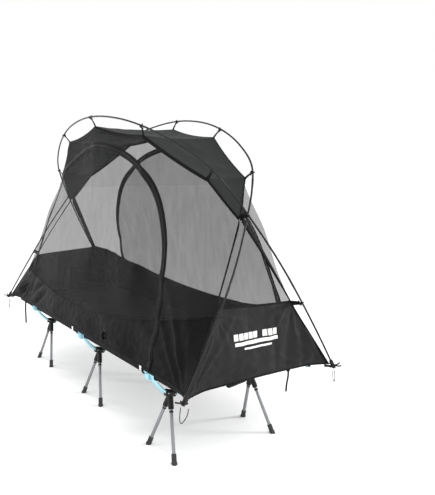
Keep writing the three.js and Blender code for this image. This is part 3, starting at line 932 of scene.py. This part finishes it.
def make_end(side):
    """One end wall: net over a solid tub, with its seam, hem and corner tapes."""
    placed = PLACED[side]
    cloth = grid_cloth(end_wall, np.linspace(-1, 1, 81), np.linspace(0, 0.992, 101))

    def above(v):
        return v[:, 2] - end_tub_top(side, v[:, 1])

    net_part = keep_where(cloth, above)
    tub_part = keep_where(cloth, lambda v: -above(v))
    panel(f"end_net_{side}", placed(net_part), "mesh")
    panel(f"end_tub_{side}", placed(tub_part), "tub_end",
          replaces=[f"end_wall_{side}"], thickness=CLOTH_THICKNESS)
    line = [(y, end_tub_top(side, y)) for y in np.linspace(-0.195, 0.195, 40)]
    seam = band(end_wall, on_end, line, SEAM["offsets"])
    piece(f"end_seam_{side}", placed(seam), "binding")
    s = np.linspace(-0.985, 0.985, 90)
    hem = edge_tape(end_wall, plain_end, [(s, t) for t in (0.001, 0.005, 0.010)])
    piece(f"end_hem_{side}", placed(hem), "binding")
    t = np.linspace(0.004, 0.97, 80)
    for key, sign in {"a": -1, "b": 1}.items():
        width = 0.0025 if (side == "right") == (sign < 0) else 0.0055  # the front corners' are narrow
        half = 1 - width / np.maximum(-plain_wall(np.ones_like(t), t)[:, 1], 0.02)
        rows = [(sign * (0.9995 * (1 - k) + half * k), t) for k in (0.0, 0.5, 1.0)]
        shape = edge_tape(end_wall, plain_end, rows)
        piece(f"end_tape_{side}_{key}", placed(shape), "binding")


PRINT = {"start": -0.118, "end": 0.108, "blocks": 9, "space": 5, "height": 0.026, "z": 0.5475,
         "slope": -0.008}
PRINT_BARS = ((0.520, 0.014, (-0.112, 0.110)), (0.499, 0.008, (-0.066, 0.076)))  # z, height and reach in y


def make_print():
    """Plain white bars on the right end wall."""
    shape = Shape()

    def add(line, height):
        shape.merge(band(end_wall, on_end, line, (-height / 2, 0.0, height / 2), 0.0011, 0.0003))

    edges = np.linspace(PRINT["start"], PRINT["end"], PRINT["blocks"] + 1)
    for i, (start, end) in enumerate(zip(edges, edges[1:])):
        if i != PRINT["space"]:
            ys = np.linspace(start + 0.0015, end - 0.0025, 4)
            add([(y, PRINT["z"] + PRINT["slope"] * (y + 0.12)) for y in ys], PRINT["height"])
    for z, height, reach in PRINT_BARS:
        add([(y, z) for y in np.linspace(*reach, 30)], height)
    piece("end_print", shape, "white")


# ---------- the roof and the floor ----------
def make_roof():
    """The solid roof panel, slack between its clips."""
    shape = grid_cloth(roof, np.linspace(-0.998, 0.998, 181), np.linspace(-0.995, 0.995, 49))
    panel("roof_cloth", shape, "roof", BODY, ["roof_panel"], CLOTH_THICKNESS, (2.05, 0.48))


FLOOR = {"half": (0.9865, 0.3455), "lift": 0.0018, "crumple": 0.0005, "end_from": 0.955}


def make_floor():
    """The tent's floor, which lies on the bed and follows the hem out to its corners."""
    half_x, half_y = FLOOR["half"]
    x = np.linspace(-half_x, half_x, 121)
    y = np.linspace(-half_y, half_y, 61)
    gx, gy = np.meshgrid(x, y, indexing="ij")
    bed = RAIL["z"] + SLEEVE["radius"]
    arch = 1 - (gy / HEM["y"]) ** 2
    near_end = np.clip((np.abs(gx) - FLOOR["end_from"]) / 0.025, 0, 1)
    crumple = FLOOR["crumple"] * (1 + middling(gx, gy) / 2.5)
    z = bed + FLOOR["lift"] + crumple + near_end * HEM_ARCH[1] * arch
    drawn = ear(gx / HEM["x"], 0, 0.90) * ear(gy / HEM["y"], 0, 0.72)
    points = np.stack([gx + np.sign(gx) * (EAR[0] * drawn - near_end * HEM_ARCH[0] * arch),
                       gy + np.sign(gy) * EAR[1] * drawn, z - EAR[2] * drawn], -1)
    shape = grid_cloth(lambda s, t: points, x, y)
    panel("floor_cloth", shape, "tub", replaces=["tent_floor"], flat=(1.97, 0.70), held="laid",
          rests_on=["bed_cloth"])


# ---------- the poles, their clips and their feet ----------
TUBE_RADIUS = 0.0040  # the bare tube; the CAD pole is as thick as the ferrules


def arch_line():
    """The front arch pole, which stands at the back corners and leans over the front."""
    slope = (CORNER["z"] - ARCH_TOP["z"]) / (CORNER["y"] - ARCH_TOP["y"])
    right = [(x, y, ARCH_TOP["z"] + (y - ARCH_TOP["y"]) * slope) for x, y in ARCH_HALF]
    left = [(-x, y, z) for x, y, z in reversed(right[1:])]
    return smooth_path(np.array(left + right) + np.array([CROSSING_SHIFT, 0, 0]), 12)


def nearest(line, point):
    """The line's point that is nearest to a place, and its direction there."""
    index = int(np.argmin(np.linalg.norm(line - np.asarray(point), axis=1)))
    index = min(max(index, 1), len(line) - 2)
    return line[index], unit(line[index + 1] - line[index - 1])


CLIPS = {  # pole point and cloth point of each webbing strap, for the front pole's right half
    "top": ((0, -0.2654, 1.4636), (0, -0.2355, 1.416)),
    "shoulder": ((0.4397, -0.2261, 1.3925), (0.417, -0.198, 1.353)),
    "side": ((0.8201, -0.1147, 1.1902), (0.770, -0.100, 1.162)),
    "tub": ((1.0013, 0.2134, 0.6478), (0.9553, 0.2037, 0.6449)),
}
STRAP_WIDTH = {"tub": 0.020, "crossing": 0.018, "other": 0.013}
SECTION_JOINTS = (0.115, 0.245, 0.375, 0.5, 0.625, 0.755, 0.885)  # shares of the pole's length
FERRULE = {"half": 0.028, "radius": TUBE_RADIUS + 0.0006}


def make_pole(side):
    """An arch pole: the tube, the ferrules at its section joints and its clips."""
    name = f"arch_pole_{side}"
    line = arch_line()
    placed = PLACED[side]
    tube = swept(line, circle(TUBE_RADIUS, 16), up=(0, 0.5, 1))
    piece(f"{name}_tube", placed(tube), "pole", replaces=[name])
    travelled = np.concatenate([[0], np.cumsum(np.linalg.norm(np.diff(line, axis=0), axis=1))])
    ferrules = Shape()
    for share in SECTION_JOINTS:
        middle = share * travelled[-1]
        stations = np.linspace(middle - FERRULE["half"], middle + FERRULE["half"], 9)
        path = np.stack([np.interp(stations, travelled, line[:, k]) for k in range(3)], 1)
        taper = np.array([0.9, 1, 1, 1, 1, 1, 1, 1, 0.9])
        ferrules.merge(swept(path, circle(FERRULE["radius"], 16), up=(0, 0.5, 1), scale=taper))
    piece(f"{name}_ferrules", placed(ferrules), "pole_joint")

    for key, (on_pole, on_cloth) in CLIPS.items():
        for word, mirror in (("right", 1), ("left", -1)):
            if key != "top" or mirror > 0:
                flip = np.array([mirror, 1, 1])
                pole_at, along = nearest(line, on_pole * flip)
                width = STRAP_WIDTH["tub" if key == "tub" else "other"]
                make_clip(f"{name}_{key}_{word}", pole_at, along, on_cloth * flip, width, placed)


CLIP = {"gap": 0.0013, "width": 0.009, "thickness": 0.0018, "block": (0.009, 0.008, 0.004), "outer": 0.0025,
        "strap": 0.0022, "bar": 0.0028}


def make_clip(name, pole_at, along, cloth_at, width, placed=as_built):
    """A hook clip on the pole with a webbing strap down to the cloth."""
    reach = cloth_at - pole_at
    reach = unit(reach - np.dot(reach, along) * along)
    side = np.cross(along, reach)
    outer = POLE_RADIUS + CLIP["outer"]
    arc = [math.cos(a) * reach + math.sin(a) * side for a in np.radians(np.linspace(-135, 135, 19))]
    hook_line = [pole_at + (POLE_RADIUS + CLIP["gap"]) * out for out in arc]
    hook = swept(hook_line, slab_section(CLIP["width"], CLIP["thickness"]), up=along)
    block_at = pole_at + reach * (outer + 0.003)
    hook.merge(rounded_box(block_at, CLIP["block"], 0.0012, (along, reach, side)))
    piece(f"{name}_hook", placed(hook), "plastic")
    start = pole_at + reach * (outer + 0.002)
    middle = (start + cloth_at) / 2 + side * 0.001
    strap_line = smooth_path([start, middle, cloth_at], 6)
    flare = np.linspace(0.85, 1.25, len(strap_line))
    strap = swept(strap_line, slab_section(width, CLIP["strap"]), up=side, scale=flare)
    piece(f"{name}_strap", placed(strap), "webbing")
    bar_at = start + reach * 0.004
    bar_end = along * width * 0.65
    bar = swept([bar_at - bar_end, bar_at + bar_end], circle(CLIP["bar"], 12), up=reach)
    piece(f"{name}_bar", placed(bar), "plastic")


def make_crossing(side, sign):
    """Where the two poles cross: a moulded double hook and a strap to the end wall's point."""
    cloth_at = np.array([sign * 0.860, 0, 1.0])
    for key, line in (("front", arch_line()), ("back", arch_line() * HALF_TURN)):
        at, along = nearest(line, (sign * 0.895, 0, 1.0216))
        make_clip(f"crossing_{side}_{key}", at, along, cloth_at, STRAP_WIDTH["crossing"])


# A pole foot: its socket's (radius, distance up the pole), its blocks and its prongs. A block has its
# place inwards, across and down, its size, its bevel and its slant; a prong has its turn and reach.
POLE_FOOT = [(0.0062, -0.0145), (0.0082, -0.0125), (0.0086, -0.004), (0.0080, 0.004), (0.0083, 0.016),
             (0.0078, 0.024), (0.0066, 0.0262), (0.0050, 0.0262)]
POLE_FOOT_BLOCKS = [(0.018, 0, 0.005, (0.036, 0.020, 0.0055), 0.0018, 0),
                    (0.006, 0.012, 0.004, (0.020, 0.006, 0.006), 0.002, 0.4),
                    (-0.008, -0.010, 0.003, (0.018, 0.005, 0.006), 0.002, -0.6)]
POLE_FOOT_PRONGS = [(0.75, 0.038), (-0.55, 0.030)]
PRONG_RADIUS = 0.0032


def make_pole_foot(name, sign_x, sign_y):
    """A pole-tip holder at a corner: socket, tongue, a side-release prong and the webbing to the tent."""
    line = arch_line() if sign_y > 0 else arch_line()[::-1] * HALF_TURN
    end, before = (line[-1], line[-4]) if sign_x > 0 else (line[0], line[3])
    up = np.array([0, 0, 1.0])
    inward = unit(np.array([-sign_x, -sign_y, 0.0]))
    across = np.array([-inward[1], inward[0], 0.0])
    shape = turned(POLE_FOOT, end, before - end)
    for along, aside, drop, size, bevel, slant in POLE_FOOT_BLOCKS:
        centre = end + inward * along + across * aside - up * drop
        shape.merge(rounded_box(centre, size, bevel, (inward + across * slant, across, up)))
    piece(f"{name}_holder", shape, "plastic", replaces=[name])
    hook = Shape()
    for turn, reach in POLE_FOOT_PRONGS:
        out = unit(-inward * math.cos(turn) + across * math.sin(turn) + up * 0.12)
        root = end - inward * 0.004
        bend = [root, root + out * reach * 0.6, root + out * reach + up * 0.004]
        hook.merge(swept(smooth_path(bend, 6), circle(PRONG_RADIUS, 12)))
    piece(f"{name}_hook", hook, "plastic")
    tip = np.array([sign_x * (HEM["x"] + EAR[0]), sign_y * (HEM["y"] + EAR[1]), HEM["z"] - EAR[2]])
    web_line = smooth_path([end - inward * 0.002 + up * 0.003, tip + up * 0.0045,
                            tip + inward * 0.012 + up * 0.006], 6)
    piece(f"{name}_web", swept(web_line, slab_section(0.012, 0.0020)), "webbing")


# ---------- the cot ----------
RAIL_JOINTS = (-0.51, -0.17, 0.17, 0.51)


def make_rail(side, sign):
    """A side rail: the tube, its end caps and the rings where its sections join."""
    centre = np.array([0, sign * RAIL["y"], RAIL["z"]])
    r, half = RAIL["radius"], RAIL["half"]
    along = np.array([1.0, 0, 0])
    chamfer = 0.0008
    tube = [(r * 0.9, 0), (r, chamfer), (r, 2 * half - chamfer), (r * 0.9, 2 * half)]
    piece(f"rail_{side}", turned(tube, centre - half * along, along, 40), "blue",
          replaces=[f"side_rail_{side}"])
    caps = Shape()
    cap = [(r * 0.96, -0.0006), (r * 0.96, 0.0018), (r * 0.7, 0.0034), (r * 0.2, 0.0040)]
    for end in (-1, 1):
        caps.merge(turned(cap, centre + end * half * along, end * along, 32))
    piece(f"rail_caps_{side}", caps, "plastic")
    joints = Shape()
    ring = [(r + 0.0001, -0.012), (r + 0.0009, -0.011), (r + 0.0009, 0.011), (r + 0.0001, 0.012)]
    for x in RAIL_JOINTS:
        joints.merge(turned(ring, centre + x * along, along, 32))
    piece(f"rail_joints_{side}", joints, "grey")


def circle_point(centre_y, centre_z, radius, degrees):
    """The (y, z) on a circle round the X direction."""
    angle = math.radians(degrees)
    return centre_y + radius * math.cos(angle), centre_z + radius * math.sin(angle)


BED = {"sag": 0.004, "wave": 0.0006, "thickness": 0.0012, "seat": 0.0004}


def bed_section():
    """The (y, z) line of the bed sheet across the bed: round one rail, flat and round the other."""
    radius = SLEEVE["radius"] - BED["seat"]
    wrap = [circle_point(RAIL["y"], RAIL["z"], radius, a) for a in np.linspace(-150, 90, 15)]
    flat = [(y, RAIL["z"] + radius) for y in np.linspace(RAIL["y"] - 0.012, 0, 14)]
    half = wrap + flat
    return np.array(half + [(-y, z) for y, z in reversed(half[:-1])])


def make_bed_cloth():
    """The bed sheet: taut between the rails, with a sleeve round each rail cut away over the bows."""
    section = bed_section()
    ys = section[:, 0]
    inner = np.clip(1 - (ys / 0.30) ** 2, 0, 1)
    flat = np.isclose(section[:, 1], section[:, 1].max(), atol=1e-6)
    xs = np.linspace(-SLEEVE["half"], SLEEVE["half"], 211)
    rows = []
    for x in xs:
        x_here = np.full(len(section), x)
        wave = BED["wave"] * middling(x_here, ys) * inner
        z = section[:, 1] + np.where(flat, wave - BED["sag"] * inner - BED["seat"], 0)
        rows.append(np.stack([x_here, ys, z], 1))
    count = len(section)
    faces = []
    for i, middle_x in enumerate((xs[:-1] + xs[1:]) / 2):
        near_bow = any(abs(middle_x - x) < SLEEVE["cutout"] / 2 for x in CROSS_AT.values())
        for k in range(count - 1):
            on_sleeve = abs(ys[k:k + 2]).min() > RAIL["y"] - 0.018
            if not (near_bow and on_sleeve):
                faces.append((i * count + k, (i + 1) * count + k, (i + 1) * count + k + 1, i * count + k + 1))
    shape = Shape().add(np.vstack(rows), faces)
    panel("bed_cloth", shape, "bed", BODY, ["cot_sheet"], BED["thickness"], (1.884, 0.76))
    tapes = Shape()
    tape_radius = SLEEVE["radius"] - BED["seat"] + 0.0012
    for sign in SIDES.values():
        for x in CROSS_AT.values():
            for end in (-1, 1):
                at = x + end * (SLEEVE["cutout"] / 2 + 0.003)
                points = [circle_point(RAIL["y"], RAIL["z"], tape_radius, a) for a in range(-90, 91, 12)]
                arc = [(at, sign * y, z) for y, z in points]
                tapes.merge(swept(arc, slab_section(0.006, 0.0012), up=(1, 0, 0)))
    piece("bed_sleeve_bindings", tapes, "binding")


HOOK = {"inner": 0.0104, "outer": 0.0132, "width": 0.034, "start": -194, "end": 14, "bevel": 0.0012}
COLLAR = [(0.0088, 0.000), (0.0098, 0.003), (0.0096, 0.016), (0.0090, 0.020), (0.0082, 0.021)]


def rail_hook(x, y, z):
    """A hook that clips over a rail: a thick arc round the X direction."""
    angles = np.linspace(HOOK["start"], HOOK["end"], 25)
    middle = (HOOK["inner"] + HOOK["outer"]) / 2
    line = [(x, *circle_point(y, z, middle, a)) for a in angles]
    w, h, bevel = HOOK["width"] / 2, (HOOK["outer"] - HOOK["inner"]) / 2, HOOK["bevel"]
    section = [(w - bevel, h), (-w + bevel, h), (-w, h - bevel), (-w, -h + bevel), (-w + bevel, -h),
               (w - bevel, -h), (w, -h + bevel), (w, h - bevel)]
    return swept(line, section, up=(1, 0, 0))


def make_bow(name, x):
    """A cross bow, with a hook over the rail and a collar at each end."""
    near = [(x, -y, z) for y, z in BOW_HALF]
    far = [(x, y, z) for y, z in reversed(BOW_HALF[:-1])]
    line = smooth_path(near + far, 10)
    piece(f"bow_{name}", swept(line, circle(0.008, 24), up=(1, 0, 0)), "blue",
          replaces=[f"cross_bow_{name}"])
    hooks = Shape()
    collars = Shape()
    for points in (near, far[::-1]):
        foot_at, below = np.array(points[:2])
        down = unit(below - foot_at)
        hooks.merge(rail_hook(x, math.copysign(RAIL["y"], foot_at[1]), RAIL["z"]))
        collars.merge(turned(COLLAR, foot_at - down * 0.002, down))
    piece(f"bow_hooks_{name}", hooks, "blue")
    piece(f"bow_collars_{name}", collars, "blue")


LEG_LENGTH = math.hypot(LEG["spread_x"], LEG["spread_y"], APEX["z"])


def foot_profile(top):
    """A ribbed rubber foot's (radius, distance) points, from its upper edge."""
    profile = [(0.0084, top), (0.0098, top + 0.0015)]
    for at in (top + 0.004 + i * 0.0052 for i in range(5)):
        profile += [(0.0108, at), (0.0108, at + 0.0028), (0.0100, at + 0.0034), (0.0100, at + 0.0046)]
    return profile + [(0.0118, top + 0.031), (0.0125, top + 0.034), (0.0125, top + 0.050)]


def make_leg(cross, x, side, sign, letter, lean):
    """A leg tube with a stop ring and a rubber foot, which slide out of the hub together."""
    body = f"leg_{cross}_{side}_{letter}"
    apex = np.array([x, sign * APEX["y"], APEX["z"]])
    down = unit((lean * LEG["spread_x"], sign * LEG["spread_y"], -APEX["z"]))
    end = LEG_LENGTH - LEG["end_short"]
    r = LEG["radius"]
    tube = [(r * 0.9, LEG["start"]), (r, LEG["start"] + 0.001), (r, end - 0.001), (r * 0.9, end)]
    piece(f"{body}_tube", turned(tube, apex, down, 32), "grey", body, [body])
    at = SOCKET_END + 0.006
    ring = [(r + 0.0002, at), (r + 0.0016, at + 0.001), (r + 0.0016, at + 0.007), (r + 0.0002, at + 0.008)]
    piece(f"{body}_ring", turned(ring, apex, down, 28), "plastic", body)
    rubber = cut_at_floor(turned(foot_profile(LEG_LENGTH - 0.040), apex, down, 32))
    piece(f"{body}_foot", rubber, "rubber", body, [f"foot_{cross}_{side}_{letter}"])


def rounded_copy(name, node, voxel, body=BODY, smoothing=6):
    """A moulded CAD part's shape with its hard edges rounded off."""
    obj = new_object(name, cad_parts[node].data.copy())
    remesh = obj.modifiers.new("remesh", "REMESH")
    remesh.mode = "VOXEL"
    remesh.voxel_size = voxel
    soften = obj.modifiers.new("soften", "SMOOTH")
    soften.factor = 0.5
    soften.iterations = smoothing
    depsgraph = bpy.context.evaluated_depsgraph_get()
    mesh = bpy.data.meshes.new_from_object(obj.evaluated_get(depsgraph))
    obj.modifiers.clear()
    obj.data = mesh
    return dressed(obj, "plastic", body, [node])


def make_hub(cross, x, side, sign):
    """A leg hub with its four screws."""
    rounded_copy(f"hub_shell_{cross}_{side}", f"hub_{cross}_{side}", 0.0016)
    head = [(0.0032, 0.0140), (0.0034, 0.0150), (0.0026, 0.0158), (0.0010, 0.0158), (0.0010, 0.0150)]
    slope = unit((0, sign, 0.27))
    centre = np.array([x, sign * APEX["y"], 0.256])
    screws = Shape()
    for end in (-0.018, 0.018):
        for face in (-1, 1):
            screws.merge(turned(head, centre + slope * end, (face, 0, 0), 16))
    piece(f"hub_screws_{cross}_{side}", screws, "steel")


def make_lever(cross, x):
    """A tension lever and the two heads of its pin."""
    body = f"tension_lever_{cross}"
    rounded_copy(f"lever_shell_{cross}", body, 0.0009, body, 4)
    head = [(0.0022, 0), (0.0030, 0.0006), (0.0030, 0.0014)]
    pins = Shape()
    for face in (-1, 1):
        at = (x + face * (LEVER["width"] / 2 - 0.0004), LEVER["y"], LEVER["z"])
        pins.merge(turned(head, at, (face, 0, 0), 16))
    piece(f"lever_pins_{cross}", pins, "steel", body)


# ---------- zip sliders and small trim ----------
def make_slider(side):
    """A zip slider: its body, bridge and tongue, and a webbing pull."""
    placed = PLACED[side]
    body = f"zip_slider_{side}"
    at = np.array([0.7105, -0.3435, 0.411])
    shape = Shape()
    for shift, size, bevel in (((0, 0, 0), (0.009, 0.005, 0.021), 0.0018),
                               ((0, -0.0036, 0.001), (0.004, 0.0026, 0.014), 0.001),
                               ((0, -0.0040, -0.019), (0.0062, 0.0016, 0.022), 0.0006)):
        shape.merge(rounded_box(at + shift, size, bevel))
    piece(f"{body}_metal", placed(shape), "steel_dark", body, [body])
    line = [at + shift for shift in ((0, -0.0052, -0.012), (0, -0.0058, -0.020), (0.0004, -0.0060, -0.031))]
    pull = swept(smooth_path(line, 6), slab_section(0.0052, 0.0016), up=(0, 1, 0))
    piece(f"{body}_pull", placed(pull), "webbing", body)


def make_trim():
    """Small sewn parts: two pale hem tabs, a dark loop and the strap tails' anchors."""
    for index, x in enumerate((-0.06, 0.64)):
        at = wall(*on_wall(x, 0.380))
        tab = rounded_box(at + np.array([0, -0.0052, -0.005]), (0.016, 0.0012, 0.020), 0.0005)
        piece(f"hem_tab_{index}", tab, "white", "front_door")
    at = wall(*on_wall(0.30, 0.425))
    loop = [at + (0, y, z) for y, z in ((-0.002, 0.016), (-0.009, 0.010), (-0.0105, 0.0),
                                        (-0.009, -0.010), (-0.002, -0.016))]
    shape = swept(smooth_path(loop, 6), slab_section(0.014, 0.0016), up=(1, 0, 0))
    piece("front_web_loop", shape, "webbing", "front_door")
    for name, inward, across in (("left", (0, 1, 0), (1, 0, 0)), ("right", (-1, 0, 0), (0, 1, 0))):
        centre = np.array(STRAP_TAILS[name][0]) + (0, 0, 0.003) + np.array(inward) * 0.001
        box = rounded_box(centre, (0.018, 0.004, 0.016), 0.0012, (across, inward, (0, 0, 1)))
        piece(f"tail_anchor_{name}", box, "binding")


# ---------- light ----------
def area_light(name, place, target, size, power):
    """A rectangular light that stands at a place and shines at a target."""
    data = bpy.data.lights.new(name, "AREA")
    data.shape = "RECTANGLE"
    data.size, data.size_y = size
    data.energy = power
    light = new_object(name, data)
    light.location = place
    light.rotation_euler = (Vector(target) - Vector(place)).to_track_quat("-Z", "Y").to_euler()


def make_studio():
    """An even white studio with four soft lights and a pale floor."""
    scene = bpy.context.scene
    scene.view_settings.view_transform = "Standard"
    world = bpy.data.worlds.new("studio")
    world.use_nodes = True
    background = world.node_tree.nodes["Background"].inputs
    background["Color"].default_value = (1, 1, 1, 1)
    background["Strength"].default_value = 1.0
    scene.world = world

    area_light("key", (3.2, -1.0, 3.4), (0.2, 0, 0.7), (2.2, 2.2), 70)
    area_light("front", (-1.2, -4.0, 2.6), (0, 0, 0.7), (3.0, 2.0), 30)
    area_light("raking", (-3.0, -1.4, 1.2), (0.0, -0.35, 0.5), (0.6, 0.6), 34)
    area_light("end", (1.8, 2.4, 1.2), (1.0, 0, 0.5), (0.5, 0.5), 42)

    mesh = bpy.data.meshes.new("floor")
    half = 30
    corners = [(-half, -half, 0), (half, -half, 0), (half, half, 0), (-half, half, 0)]
    mesh.from_pydata(corners, [], [(0, 1, 2, 3)])
    ground = Material("studio floor", "ffffff", 0.9, specular=0.0)
    ground.base = [0.985, 0.985, 0.985, 1]
    ground.set("Base Color", ground.base)
    ground.set("Emission Color", (1, 1, 1, 1))
    ground.set("Emission Strength", 0.10)
    ground.bump(ground.noise(40), 0.0002, 0.2)
    ground.shade(ground.noise(0.5), 0.998, 1.002)
    mesh.materials.append(ground.mat)
    new_object("studio_floor", mesh)


# ---------- assembly ----------
for side_name in ("front", "back"):
    make_long_side(side_name)
for side_name in ("front", "back"):
    make_bindings(side_name)
    make_pole(side_name)
    make_slider(side_name)
for side_name in ("right", "left"):
    make_end(side_name)
make_print()
make_roof()
make_floor()
for side_name, x_sign in (("right", 1), ("left", -1)):
    make_crossing(side_name, x_sign)
for y_name, y_sign, x_name, x_sign in (("back", 1, "right", 1), ("back", 1, "left", -1),
                                       ("front", -1, "left", -1), ("front", -1, "right", 1)):
    make_pole_foot(f"pole_foot_{y_name}_{x_name}", x_sign, y_sign)
make_bed_cloth()
for cross_name, cross_x in CROSS_AT.items():
    make_bow(cross_name, cross_x)
    make_lever(cross_name, cross_x)
    for side_name, side_sign in SIDES.items():
        make_hub(cross_name, cross_x, side_name, side_sign)
        for letter, lean_sign in (("a", -1), ("b", 1)):
            make_leg(cross_name, cross_x, side_name, side_sign, letter, lean_sign)
for side_name, side_sign in SIDES.items():
    make_rail(side_name, side_sign)
make_trim()
make_studio()
